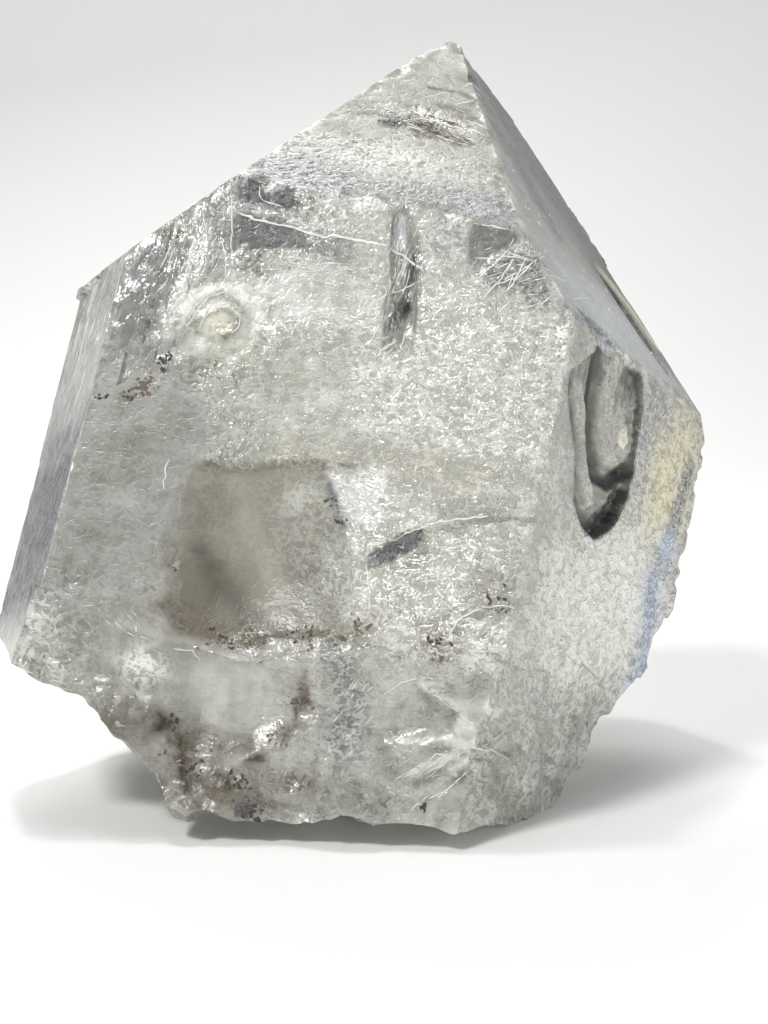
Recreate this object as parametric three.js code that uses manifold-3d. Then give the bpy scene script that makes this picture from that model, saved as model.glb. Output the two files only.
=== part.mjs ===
// Herkimer diamond: one short, stout quartz crystal, broken across below its widest part.
// Six prism faces and six tip faces close it at the top. Below, an uneven break with chips, dishes
// and a small flat spot takes the place of the second tip, and the crystal leans as it rests there.
// Lengths are in millimetres and angles in degrees. +Z is up and -Y is the front.

import * as THREE from "three";
import { ImprovedNoise } from "three/addons/math/ImprovedNoise.js";
import { mergeVertices } from "three/addons/utils/BufferGeometryUtils.js";
import Module from "manifold-3d";

const wasm = await Module();
wasm.setup();

// ---------------------------------------------------------------- driving dimensions

// Quartz: a tip face's normal makes this angle with the long axis.
const TIP_ANGLE = 51.79;

// How far each face lies from the crystal's centre. The key is the way the face looks round the
// long axis: 0 is the front, and 60 its neighbour on the right.
const PRISM_REACH = { 0: 3.2, 60: 15.0, 120: 38.3, 180: 38.5, 240: 35.0, 300: 24.1 };
const TIP_REACH = { 0: 17.8, 60: 22.7, 120: 40.1, 180: 45.0, 240: 41.0, 300: 28.5 };

// Growth steps make the left back face taper a little towards the tip.
const LEFT_BACK_TAPER = 3.5;

// How the crystal rests: its long axis leans to the right and back, after a turn about itself.
const LEAN_RIGHT = 13.14;
const LEAN_BACK = 14.93;
const TURN = -8.13;
const CENTRE_HEIGHT = 30.6;

// The block that the crystal is cut from, and every block that cuts it.
const STOCK = 150;
const BLOCK = 200;

// Points of the finished surface lie on a grid this fine.
const GRID = 0.002;

const COLOUR = 0xb9b8b2;

// ---------------------------------------------------------------- solids and cuts

// A closed three.js geometry, placed by a matrix, as a solid that can be joined and cut.
function solidFrom(geometry, place = new THREE.Matrix4()) {
  const bare = geometry.index ? geometry.toNonIndexed() : geometry.clone();
  bare.deleteAttribute("normal");
  bare.deleteAttribute("uv");
  const closed = mergeVertices(bare.applyMatrix4(place), 1e-4);
  return new wasm.Manifold(
    new wasm.Mesh({
      numProp: 3,
      vertProperties: new Float32Array(closed.getAttribute("position").array),
      triVerts: new Uint32Array(closed.index.array),
    }),
  );
}

const radians = THREE.MathUtils.degToRad;

// Which way a face looks, in the crystal's own frame with its long axis along +Z.
function faceNormal(around, isTip) {
  const tilt = isTip ? radians(TIP_ANGLE) : Math.PI / 2;
  const out = new THREE.Vector3(Math.sin(radians(around)), -Math.cos(radians(around)), 0);
  return out.multiplyScalar(Math.sin(tilt)).setZ(Math.cos(tilt));
}

// The frame of a face: local x runs level across it to the right, y up it, and z out of it. Its
// zero is the foot of the crystal's centre, moved by across, up and out, and turned and tipped.
function onFace(around, isTip, { across = 0, up = 0, out = 0, turn = 0, tip = 0, roll = 0 } = {}) {
  const normal = faceNormal(around, isTip);
  const level = new THREE.Vector3(Math.cos(radians(around)), Math.sin(radians(around)), 0);
  const reach = (isTip ? TIP_REACH : PRISM_REACH)[around];
  const turns = new THREE.Euler(radians(tip), radians(roll), radians(turn), "ZXY");
  return new THREE.Matrix4()
    .makeBasis(level, new THREE.Vector3().crossVectors(normal, level), normal)
    .setPosition(normal.clone().multiplyScalar(reach))
    .multiply(new THREE.Matrix4().makeTranslation(across, up, out))
    .multiply(new THREE.Matrix4().makeRotationFromEuler(turns));
}

// A block that stands on local z = 0 and fills the space above it.
function blockAbove(place) {
  const rise = new THREE.Matrix4().makeTranslation(0, 0, BLOCK / 2);
  return solidFrom(new THREE.BoxGeometry(BLOCK, BLOCK, BLOCK), place.clone().multiply(rise));
}

// A block whose underside is a grid of cells, each point of it brought to z = surface(x, y).
function roughBlock(width, length, cell, surface, place) {
  const columns = Math.round(width / cell);
  const rows = Math.round(length / cell);
  const block = new THREE.BoxGeometry(width, length, 1, columns, rows, 1);
  const points = block.getAttribute("position");
  for (let i = 0; i < points.count; i += 1) {
    const isUnder = points.getZ(i) < 0;
    points.setZ(i, isUnder ? surface(points.getX(i), points.getY(i)) : BLOCK / 4);
  }
  return solidFrom(block, place);
}

// An outline with straight sides, or with round ones, pushed out from local z = 0 to a depth.
function plate(outline, depth, place, isRound = false) {
  const corners = outline.map(([x, y]) => new THREE.Vector3(x, y, 0));
  const round = new THREE.CatmullRomCurve3(corners, true);
  const edge = isRound ? round.getPoints(outline.length * 3).slice(1) : corners;
  const geometry = new THREE.ExtrudeGeometry(new THREE.Shape(edge), { depth, bevelEnabled: false });
  return solidFrom(geometry, place);
}

// A ball stretched to three radii.
function pebble([rx, ry, rz], place, segments = 20) {
  const stretch = new THREE.Matrix4().makeScale(rx, ry, rz);
  const ball = new THREE.SphereGeometry(1, segments, Math.round(segments * 0.6));
  return solidFrom(ball, place.clone().multiply(stretch));
}

// The shallow dish that a chip leaves: round, with its rim in the face that it is knocked out of.
// The ball that cuts it has 2.5 times the dish's depth and its middle 1.5 depths out, so at the
// face it is a circle of 0.8 times its own radius.
function dish({ radius, depth, ...spot }, around) {
  const radii = [radius / 0.8, radius / 0.8, 2.5 * depth];
  return pebble(radii, onFace(around, false, { ...spot, out: 1.5 * depth }));
}

// ---------------------------------------------------------------- the whole crystal

// A chip is off the edge of the tip. It is given in the level and height of the front tip face.
const TIP_CHIP = { across: -2.5, up: 52.4, tip: -58, roll: 8 };

// A block of stock with one cut for each face, and the chip.
function wholeCrystal() {
  let part = solidFrom(new THREE.BoxGeometry(STOCK, STOCK, STOCK));
  for (const key of Object.keys(PRISM_REACH)) {
    const around = Number(key);
    const tip = around === 240 ? LEFT_BACK_TAPER : 0;
    part = part.subtract(blockAbove(onFace(around, false, { tip })));
    part = part.subtract(blockAbove(onFace(around, true)));
  }
  return part.subtract(blockAbove(onFace(0, true, TIP_CHIP)));
}

// ---------------------------------------------------------------- front face

// The front prism face carries most of the relief. Narrow growth steps run down its left side, with
// a low hillock and a slot to their right. Below lies the imprint of a crystal that once grew
// against this one, a sunken plate beside it, and a belt of chips along the foot.
const STEP_TOP = 30;
const GROWTH_STEPS = [
  { left: -19.4, right: -17.5, foot: 8.6, depth: 0.5 },
  { left: -20.7, right: -19.4, foot: 5.8, depth: 0.25 },
  { left: -22.3, right: -20.7, foot: 7.4, depth: 0.7 },
  { left: -23.4, right: -22.3, foot: 4.2, depth: 0.4 },
  { left: -40.0, right: -23.4, foot: 6.6, depth: 0.8 },
];
const STEP_LEAN = 0.9;
const HILLOCK = { across: -16.1, up: 10.6, out: -0.5, radii: [3.6, 4.2, 0.95] };
const SLOT = { across: -0.3, up: 18.2, out: 0.25, turn: 16, radii: [1.15, 7.6, 1.2] };

const IMPRINT_OUTLINE = [
  [-15.1, -2.4], [-9.3, -1.5], [-3.3, 0], [-0.3, -5.3], [3.3, -10.8],
  [3.8, -13.4], [-2.8, -15.4], [-9.2, -17], [-13.8, -15.1], [-14.9, -9.2],
];
const IMPRINT_FLOOR = { across: -5.5, up: -8, out: 1.9, tip: 8, roll: -12, radii: [17, 17, 4.6] };
const IMPRINT_REACH = 12;
const IMPRINT_SEGMENTS = 36;
const BRIGHT_FACET = { across: -0.6, up: -2.6, out: -0.9, tip: 9, roll: -17 };
const BRIGHT_FACET_HEIGHT = 9;
const BRIGHT_FACET_OUTLINE = [[-3, 2.9], [2.4, 3.9], [5.2, 0.5], [3.6, -4.4], [1.4, -4.2]];
const SUNKEN_DEPTH = 0.55;
const SUNKEN_OUTLINE = [
  [3, -7.7], [5.7, -4], [11.7, -1.4], [22, 0.4], [22, -11.6], [18.4, -11.4], [16.8, -10.2],
  [14.6, -9.3], [12.2, -9.4], [10, -10.6], [8.2, -12.8], [7.4, -15], [3.6, -14.4],
];
const GREY_PIT = { across: 5.2, up: -6.2, out: 0.2, turn: 35, radii: [2.6, 1.7, 1.3] };

// The belt of chips is one rough surface. It starts at a wavy line, drops to its depth, and has
// dishes, mounds where the depth is below zero, and ridges that fan out from where a blow fell.
const BELT = { across: -2, up: -27, width: 64, length: 34, cell: 1.45, depth: 1.3 };
const BELT_START = { up: -16.8, slope: 0.08 };
const BELT_WAVES = [{ height: 1.3, length: 4.2 }, { height: 0.7, length: 1.9 }];
const BELT_SLOPE = 0.45;
const BELT_LEAST_DEPTH = 0.1;
const BELT_GRAIN = { height: 0.7, across: 4.4, up: 3.6, layer: 1.7 };
const BELT_SHAPES = [
  { across: -7.2, up: -22.6, radius: 7.4, depth: 0.8 },
  { across: 6.4, up: -20.6, radius: 6.2, depth: 0.7 },
  { across: 18.4, up: -19, radius: 6.4, depth: 0.7 },
  { across: 12.6, up: -15.4, radius: 4.8, depth: -1.2 },
  { across: -10, up: -27.6, radius: 5.2, depth: 1.7 },
  { across: -1, up: -29.4, radius: 5, depth: 1.1 },
  { across: 4.4, up: -27.4, radius: 3.4, depth: -0.9 },
  { across: -14.8, up: -25.6, radius: 3.2, depth: -0.8 },
  { across: -20.6, up: -23.6, radius: 6, depth: 1.2 },
  { across: -0.6, up: -19.4, radius: 2.8, depth: 0.9 },
];
const BLOW = { across: 14.6, up: -21.4, radius: 9, ridges: 9, height: 0.5 };

const noise = new ImprovedNoise();

// A smooth bump of height 1 in its middle, falling to 0 at its radius.
function bump(x, y, place) {
  const share = Math.hypot(x - place.across, y - place.up) / place.radius;
  return share < 1 ? (1 - share * share) ** 1.5 : 0;
}

// A grain's height at a point, from its own height, its size across and up, and its layer of noise.
function grainAt(x, y, { height, across, up, layer }) {
  return height * noise.noise(x / across, y / up, layer);
}

// Above its start the belt's surface stays just outside the face, so it cuts nothing there.
function beltSurface(x, y) {
  const across = x + BELT.across;
  const up = y + BELT.up;
  let start = BELT_START.up + BELT_START.slope * across;
  for (const wave of BELT_WAVES) start += wave.height * Math.sin(across / wave.length);
  if (up > start) return 0.4;
  let depth = Math.min(BELT.depth, BELT_LEAST_DEPTH + BELT_SLOPE * (start - up));
  for (const shape of BELT_SHAPES) depth += shape.depth * bump(across, up, shape);
  const angle = Math.atan2(up - BLOW.up, across - BLOW.across);
  depth += BLOW.height * Math.sin(BLOW.ridges * angle) * bump(across, up, BLOW);
  return -Math.max(depth + grainAt(across, up, BELT_GRAIN), BELT_LEAST_DEPTH);
}

function frontFace(whole) {
  const cut = (outline, depth, spot) => plate(outline, depth, onFace(0, false, spot));
  const ball = (shape) => pebble(shape.radii, onFace(0, false, shape));
  let part = whole;
  for (const { left, right, foot, depth } of GROWTH_STEPS) {
    const strip = [
      [left, STEP_TOP],
      [right, STEP_TOP],
      [right, foot],
      [left, foot - STEP_LEAN],
    ];
    part = part.subtract(cut(strip, BLOCK / 4, { out: -depth }));
  }
  part = part.add(ball(HILLOCK)).subtract(ball(SLOT));
  part = part.subtract(cut(SUNKEN_OUTLINE, BLOCK / 4, { out: -SUNKEN_DEPTH }));
  part = part.subtract(cut(BRIGHT_FACET_OUTLINE, BRIGHT_FACET_HEIGHT, BRIGHT_FACET));
  const floor = pebble(IMPRINT_FLOOR.radii, onFace(0, false, IMPRINT_FLOOR), IMPRINT_SEGMENTS);
  const imprint = cut(IMPRINT_OUTLINE, 2 * IMPRINT_REACH, { out: -IMPRINT_REACH });
  part = part.subtract(imprint.intersect(floor));
  part = part.subtract(ball(GREY_PIT));
  const { width, length, cell } = BELT;
  return part.subtract(roughBlock(width, length, cell, beltSurface, onFace(0, false, BELT)));
}

// ---------------------------------------------------------------- right face

// The prism face to the right of the front has an ear-shaped hollow eaten into it, with a bowl for
// a floor and an island inside that carries a ring and a knot. A shallow step crosses the face near
// its foot, with chips below it.
const EAR_OUTLINE = [
  [6.3, 19.6], [7.7, 16.4], [6.6, 13.4], [7, 10.2], [8.8, 6.8], [10.8, 3.6], [13, 0.8],
  [17.2, -0.6], [21.4, 3.2], [22.8, 8.6], [22, 13], [19.4, 15.8], [15.4, 16.9], [10.6, 18.2],
];
const EAR_REACH = 8;
const EAR_FLOOR = { across: 14.6, up: 8.4, out: 0.9, turn: 20, radii: [12, 15, 4.3] };
const EAR_ISLAND = { across: 15.3, up: 10.4, out: -2.9, turn: 16, radii: [3.7, 6.6, 2.3] };
const EAR_RING = { across: 17.2, up: 10.4, out: -0.5, turn: 10, radii: [2.1, 3.5, 1.3] };
const EAR_KNOT = { across: 17.4, up: 10.6, out: -1.7, turn: 10, radii: [1.1, 2.1, 1.5] };
const RIGHT_FOOT = { across: 15, up: -12.2, out: -0.5, tip: 4, turn: 4 };
const RIGHT_FOOT_OUTLINE = [
  [-20, 0.5], [-6, -0.8], [0, 0], [4, 0.9], [8, -0.3], [14, 0.8], [30, 0.4], [30, -30], [-20, -30],
];
const RIGHT_CHIPS = [
  { across: 16, up: -20, radius: 6.5, depth: 0.9, tip: 4 },
  { across: 26, up: -15.5, radius: 5.4, depth: 1.1, roll: 5 },
  { across: 35.5, up: -7, radius: 4.6, depth: 1.2, roll: 8 },
];

function rightFace(whole) {
  const ball = (shape) => pebble(shape.radii, onFace(60, false, shape));
  const ear = plate(EAR_OUTLINE, 2 * EAR_REACH, onFace(60, false, { out: -EAR_REACH }), true);
  const island = ball(EAR_ISLAND).subtract(ball(EAR_RING)).add(ball(EAR_KNOT));
  let part = whole.subtract(plate(RIGHT_FOOT_OUTLINE, BLOCK / 4, onFace(60, false, RIGHT_FOOT)));
  part = part.subtract(ear.intersect(ball(EAR_FLOOR)).subtract(island));
  for (const chip of RIGHT_CHIPS) part = part.subtract(dish(chip, 60));
  return part;
}

// ---------------------------------------------------------------- tip and hidden faces

// Thin plates of unfinished growth on the tip faces and round the back, each a step down from its
// face, with a few pits. Plates are listed by face and outline, in the face's own level and height.
const PLATES = [
  {
    around: 300,
    isTip: false,
    depth: 0.5,
    outline: [[-30, 14], [-3, 19], [3, 14], [1, -3], [6, -12], [-30, -20]],
  },
  {
    around: 120,
    isTip: false,
    depth: 0.9,
    outline: [[-40, -30], [-9, -30], [-12, 2], [-4, 14], [-7, 40], [-40, 40]],
  },
  {
    around: 120,
    isTip: true,
    depth: 0.7,
    outline: [[2, -40], [4, 2], [13, 12], [12, 60], [50, 60], [50, -40]],
  },
  {
    around: 180,
    isTip: false,
    depth: 1.1,
    outline: [[-8, -40], [-5, -6], [3, 4], [1, 16], [40, 22], [40, -40]],
  },
  {
    around: 180,
    isTip: true,
    depth: 0.8,
    outline: [[-40, -10], [-6, -14], [-3, 4], [4, 10], [-5, 24], [-40, 20]],
  },
  {
    around: 240,
    isTip: false,
    depth: 0.8,
    outline: [[-40, 4], [-3, 8], [6, -2], [12, -9], [14, -40], [-40, -40]],
  },
  {
    around: 240,
    isTip: true,
    depth: 0.6,
    outline: [[-3, -40], [1, 3], [9, 9], [16, 7], [40, 12], [40, -40]],
  },
];
const PITS = [
  { around: 60, isTip: true, across: 25.2, up: 13.1, turn: 30, radii: [1.1, 6.4, 1.1] },
  { around: 120, isTip: false, across: 10, up: 3, turn: -20, radii: [3.2, 6.0, 1.4] },
  { around: 180, isTip: true, across: 8, up: -2, turn: 40, radii: [4.6, 2.4, 1.2] },
  { around: 240, isTip: false, across: -9, up: 20, turn: 12, radii: [2.2, 4.4, 1.0] },
];

function growthPlates(whole) {
  let part = whole;
  for (const { around, isTip, depth, outline } of PLATES) {
    part = part.subtract(plate(outline, BLOCK / 4, onFace(around, isTip, { out: -depth })));
  }
  for (const pit of PITS) {
    part = part.subtract(pebble(pit.radii, onFace(pit.around, pit.isTip, pit)));
  }
  return part;
}

// ---------------------------------------------------------------- the break underneath

// The break rises in ramps from a flat spot towards the rim. `towards` is the compass direction of
// the rise, 0 to the right and 90 to the back, and `start` how far out it begins.
const BREAK_SIZE = 110;
const BREAK_CELL = 1.9;
const FLAT_SPOT_DEPTH = 0.9;
const BREAK_RAMPS = [
  { towards: 30, start: 16, slope: 0.74 },
  { towards: 188, start: 8.6, slope: 0.64 },
  { towards: 258, start: 1.5, slope: 0.3 },
  { towards: 75, start: 31, slope: 0.55 },
  { towards: 128, start: 38, slope: 0.9 },
];
// Lumps hang from it where the height is below zero, and dishes are knocked out where it is above.
// Seen from above, `across` is to the right and `up` to the back.
const BREAK_LUMPS = [
  { across: -16.2, up: -7.5, radius: 4.2, height: -3 },
  { across: 17, up: -6, radius: 5, height: -2.2 },
  { across: -24.5, up: 2, radius: 7.5, height: 2.6 },
  { across: 22, up: 14, radius: 7, height: 1.8 },
  { across: -11, up: 34, radius: 8, height: 2.5 },
  { across: 11, up: 38, radius: 7, height: 2.2 },
];
const BREAK_GRAINS = [
  { height: 1.5, across: 9, up: 8, layer: 3.1 },
  { height: 0.7, across: 3.7, up: 4.3, layer: 8.2 },
];

function breakHeight(x, y) {
  let height = -FLAT_SPOT_DEPTH;
  for (const { towards, start, slope } of BREAK_RAMPS) {
    const run = x * Math.cos(radians(towards)) + y * Math.sin(radians(towards)) - start;
    height = Math.max(height, slope * run);
  }
  for (const lump of BREAK_LUMPS) height += lump.height * bump(x, y, lump);
  for (const grain of BREAK_GRAINS) height += grainAt(x, y, grain);
  return height;
}

function breakOff(whole) {
  const underneath = new THREE.Matrix4().makeRotationX(Math.PI);
  const surface = (x, y) => -breakHeight(x, -y);
  const broken = roughBlock(BREAK_SIZE, BREAK_SIZE, BREAK_CELL, surface, underneath);
  return whole.subtract(broken).subtract(blockAbove(underneath));
}

// ---------------------------------------------------------------- the finished object

const lean = new THREE.Euler(radians(-LEAN_BACK), radians(LEAN_RIGHT), radians(TURN), "YXZ");
const rest = new THREE.Matrix4().makeRotationFromEuler(lean).setPosition(0, 0, CENTRE_HEIGHT);

// A solid's surface with its points brought to a fine grid, so that no two of them nearly meet.
// Triangles that lose their area on the way go, and so do pairs that fold flat on each other.
function surfaceOf(solid) {
  const { numProp, vertProperties, triVerts } = solid.getMesh();
  const rounded = vertProperties.map((value) => Math.round(value / GRID) * GRID);
  const loose = new THREE.BufferGeometry();
  loose.setAttribute("position", new THREE.BufferAttribute(rounded, numProp));
  loose.setIndex(new THREE.BufferAttribute(triVerts, 1));
  const surface = mergeVertices(loose, GRID / 4);
  const kept = new Map();
  for (let i = 0; i < surface.index.count; i += 3) {
    const corners = [0, 1, 2].map((step) => surface.index.getX(i + step));
    const name = [...corners].sort((a, b) => a - b).join();
    if (new Set(corners).size < 3 || kept.delete(name)) continue;
    kept.set(name, corners);
  }
  surface.setIndex([...kept.values()].flat());
  return surface;
}

const upright = growthPlates(rightFace(frontFace(wholeCrystal())));
const skin = surfaceOf(breakOff(upright.transform(rest.elements)));

// The origin is under the middle of the object's box.
const middle = new THREE.Box3().setFromBufferAttribute(skin.getAttribute("position"));
const centre = middle.getCenter(new THREE.Vector3());
skin.translate(-centre.x, -centre.y, 0);

const crystal = new THREE.Mesh(
  skin,
  new THREE.MeshStandardMaterial({ color: COLOUR, roughness: 0.25, metalness: 0 }),
);
crystal.name = "crystal";
const herkimer = new THREE.Group();
herkimer.add(crystal);

export default herkimer;
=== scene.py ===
"""A herkimer diamond: one stout, cloudy quartz crystal with a hollow, stains and a broken base.

The crystal's lengths are in millimetres, and MM turns them into metres. The floor and the lights are
in metres.
"""

import math
import random

import bpy
import numpy as np
from mathutils import Matrix, Vector, noise


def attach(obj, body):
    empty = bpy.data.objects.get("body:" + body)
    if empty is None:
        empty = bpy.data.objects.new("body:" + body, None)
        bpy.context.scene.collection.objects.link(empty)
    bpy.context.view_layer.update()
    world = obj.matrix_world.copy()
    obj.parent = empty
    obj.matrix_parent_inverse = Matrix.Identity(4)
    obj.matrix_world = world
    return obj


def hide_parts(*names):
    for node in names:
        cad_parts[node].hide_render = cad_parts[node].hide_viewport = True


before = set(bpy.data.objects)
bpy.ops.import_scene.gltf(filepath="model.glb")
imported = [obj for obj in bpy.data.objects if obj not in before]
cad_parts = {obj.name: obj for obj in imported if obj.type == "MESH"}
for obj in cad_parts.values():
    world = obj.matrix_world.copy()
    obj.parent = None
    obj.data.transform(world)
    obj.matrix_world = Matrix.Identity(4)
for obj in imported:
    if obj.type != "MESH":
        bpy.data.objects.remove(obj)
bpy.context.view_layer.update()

# ---------------------------------------------------------------- camera
# The crystal is seen from the front, from about 135 mm away and a little above its middle. The
# sensor's width lies along the upright side of the picture.

MM = 0.001
CAMERA_AT = (2.0, -151.6, 41.9)
CAMERA_TILT = 84
SENSOR_WIDTH = 36
FOCAL_LENGTH = 52.98

camera = bpy.data.objects.new("camera", bpy.data.cameras.new("camera"))
bpy.context.scene.collection.objects.link(camera)
camera.location = Vector(CAMERA_AT) * MM
camera.rotation_euler = (math.radians(CAMERA_TILT), 0, 0)
camera.data.sensor_width = SENSOR_WIDTH
camera.data.lens = FOCAL_LENGTH
camera.data.clip_start = 10 * MM
bpy.context.scene.camera = camera

# ---------------------------------------------------------------- crystal, shape
# The crystal is natural quartz, grown as one piece and broken off at the base. Its flat faces meet at
# sharp edges. It starts as a copy of the solid, with a new skin of small even quads.

# The crystal's own axes have Z along its length and -Y out of its front face. They lean in the scene,
# and the faces are measured from the centre.
CENTRE = Vector((0.3, -17.08, 30.6)) * MM
LEAN_RIGHT = 13.14
LEAN_BACK = 14.93
TURN = -8.13
lean = (
    Matrix.Rotation(math.radians(LEAN_RIGHT), 3, "Y")
    @ Matrix.Rotation(math.radians(-LEAN_BACK), 3, "X")
    @ Matrix.Rotation(math.radians(TURN), 3, "Z")
)

# A face is named by the way it looks round the long axis, in degrees from the front, and by whether it
# belongs to the tip. Its reach is its distance from the centre.
TIP_ANGLE = 51.79
PRISM_REACH = {0: 3.2, 60: 15.0, 120: 38.3, 180: 38.5, 240: 35.0, 300: 24.1}
TIP_REACH = {0: 17.8, 60: 22.7, 120: 40.1, 180: 45.0, 240: 41.0, 300: 28.5}
REACH = {(around, False): reach for around, reach in PRISM_REACH.items()}
REACH |= {(around, True): reach for around, reach in TIP_REACH.items()}
FACES = list(REACH)
FRONT, FRONT_TIP = (0, False), (0, True)
RIGHT, RIGHT_TIP = (60, False), (60, True)
LEFT = (300, False)

bpy.ops.object.select_all(action="DESELECT")
crystal = bpy.data.objects.new("quartz_crystal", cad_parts["crystal"].data.copy())
bpy.context.scene.collection.objects.link(crystal)
crystal.select_set(True)
bpy.context.view_layer.objects.active = crystal
bpy.ops.object.mode_set(mode="EDIT")
bpy.ops.mesh.select_all(action="SELECT")
bpy.ops.mesh.remove_doubles(threshold=0.01 * MM)
bpy.ops.object.mode_set(mode="OBJECT")


def even_out(piece):
    """Gives a piece a new skin of even quads of about 0.45 mm, with its edges kept sharp."""
    even = piece.modifiers.new("even", "REMESH")
    even.mode = "SHARP"
    even.octree_depth = 8
    even.scale = 0.64
    even.threshold = 0.01
    bpy.ops.object.modifier_apply(modifier="even")


even_out(crystal)

# ---------------------------------------------------------------- crystal, relief
# Growth, solution and breaking have shaped the faces. An imprint of a neighbour and a winding hollow
# are sunk into them, a hillock and a star of ridges stand up, and the break below is rough.


def readings(things, name):
    """A mesh's readings of three numbers each, such as the places of its points."""
    found = np.empty(len(things) * 3)
    things.foreach_get(name, found)
    return found.reshape(-1, 3)


def to_own(places):
    """Places in the scene as points in the crystal's own axes."""
    return (places - np.array(CENTRE)) / MM @ np.array(lean)


def put_back(piece, own):
    """Moves a mesh's points to new ones in the crystal's own axes, and none under the resting plane."""
    places = own @ np.array(lean).T * MM + np.array(CENTRE)
    places[:, 2] = np.maximum(places[:, 2], 0)
    piece.data.vertices.foreach_set("co", places.astype(np.float32).ravel())
    piece.data.update()


def face_axes(face):
    """A face's outward direction, its level direction and the one that runs up it."""
    around, is_tip = face
    tilt = math.radians(TIP_ANGLE if is_tip else 90)
    side = math.radians(around)
    out = Vector((math.sin(side) * math.sin(tilt), -math.cos(side) * math.sin(tilt), math.cos(tilt)))
    level = Vector((math.cos(side), math.sin(side), 0))
    return out, level, out.cross(level)


def flat(own, face):
    """How far points are across a face, up it and out of it."""
    out, level, rise = (own @ np.array(axis) for axis in face_axes(face))
    return level, rise, out - REACH[face]


def depths(own):
    """How far points lie under the nearest face, and how far in from that face's edge."""
    below = np.sort([-flat(own, face)[2] for face in FACES], axis=0)
    return below[0], below[1] - below[0]


def grain(own, size, layer=0.0):
    """Smooth noise from -1 to 1 at points, with lumps of a size."""
    return np.array([noise.noise(point) for point in own / np.array(size) + layer])


def step(values, low, high):
    """A smooth rise from 0 at low to 1 at high."""
    share = np.clip((values - low) / (high - low), 0, 1)
    return share * share * (3 - 2 * share)


def ripples(distance, spacing):
    """Waves from -1 to 1, with a crest at distance 0 and one at every spacing."""
    return np.cos(2 * math.pi * distance / spacing)


def oval(at, size, turn=0.0):
    """An oval on a face: a measure of places across and up it, 1 on the rim and less inside."""
    cos, sin = math.cos(math.radians(turn)), math.sin(math.radians(turn))

    def measure(across, up):
        x, y = across - at[0], up - at[1]
        return np.hypot((x * cos + y * sin) / size[0], (y * cos - x * sin) / size[1])

    return measure


def line(points, wide):
    """The same measure for a band along points, as wide as it says to either side."""

    def measure(across, up):
        nearest = np.full(len(across), 1e3)
        for (ax, ay), (bx, by) in zip(points, points[1:]):
            x, y, run, rise = across - ax, up - ay, bx - ax, by - ay
            along = np.clip((x * run + y * rise) / (run * run + rise * rise), 0, 1)
            nearest = np.minimum(nearest, np.hypot(x - along * run, y - along * rise))
        return nearest / wide

    return measure


def outline(points, soft=1.0):
    """The same measure for a closed outline, which falls by 1 over a soft distance inwards."""
    rim = line(points + points[:1], soft)

    def measure(across, up):
        inside = np.zeros(len(across), bool)
        for (ax, ay), (bx, by) in zip(points, points[1:] + points[:1]):
            crosses = (ay > up) != (by > up)
            inside ^= crosses & (across < ax + (up - ay) * (bx - ax) / (by - ay + 1e-9))
        return 1 + np.where(inside, -1, 1) * rim(across, up)

    return measure


def sink(own, face, shape, wanted, soft=0.5, reach=6.0):
    """Brings the skin inside a shape to a wanted height over the face."""
    across, up, out = flat(own, face)
    share = (1 - step(shape(across, up), 1 - soft, 1)) * (np.abs(out) < reach)
    own += (share * (wanted - out))[:, None] * np.array(face_axes(face)[0])


def right_skin(up):
    """The skin's height over the right face: 0, but less where the tip face above it falls away."""
    tilt = math.radians(TIP_ANGLE)
    return np.minimum(0, (REACH[RIGHT_TIP] - math.cos(tilt) * up) / math.sin(tilt) - REACH[RIGHT])


# The imprint of a neighbour is a smooth bowl, deepest at its lower left, with a low step round it. The
# ground beside it lies lower on the right and below. Its plot and the right hollow's are wider: there
# the new floor takes the place of the solid's.
IMPRINT = [
    (-15.1, -2.4), (-9.3, -1.5), (-3.3, 0.0), (-0.3, -5.3), (3.3, -10.8), (3.8, -13.4), (-2.8, -15.4),
    (-9.2, -17.0), (-13.8, -15.1), (-14.9, -9.2),
]
IMPRINT_PLOT = [
    (-16.8, -0.9), (-9.5, 0.4), (-2.3, 2.0), (1.5, -4.6), (5.2, -10.3), (5.8, -14.7), (-2.6, -17.2),
    (-9.3, -19.0), (-15.2, -16.3), (-16.6, -9.2),
]
EAR_PLOT = [
    (5.0, 21.5), (12, 20.5), (20, 18.4), (24.2, 13), (24.6, 6), (22, 1), (17, -2.2), (11, -1), (7, 5),
    (4.8, 10), (4.2, 16),
]
BOWL = oval((-7.6, -10.4), (9.6, 8.2), -20)
BOWL_DEPTH = 2.7
LEDGE_DEPTH = 0.3
RIGHT_GROUND = -0.5
LOW_GROUND = -0.9

own = to_own(readings(crystal.data.vertices, "co"))
across, up, out = flat(own, FRONT)
bowl = 1 - np.clip(BOWL(across, up), 0, 1) ** 2
ledge = 1 - step(outline(IMPRINT, 1.0)(across + 0.5 * grain(own, 2.4, 31), up), 0.5, 1.1)
ground = RIGHT_GROUND * step(across - 0.5 * up, 4.2, 6.2)
ground += LOW_GROUND * (1 - step(up - 0.1 * across, -18.5, -16.2))
imprint_floor = np.minimum(ground, -LEDGE_DEPTH * ledge - BOWL_DEPTH * bowl)
sink(own, FRONT, outline(IMPRINT_PLOT, 1.0), imprint_floor, soft=0.9, reach=12)
sink(own, RIGHT, outline(EAR_PLOT, 0.5), right_skin(flat(own, RIGHT)[1]))
put_back(crystal, own)
even_out(crystal)

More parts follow.
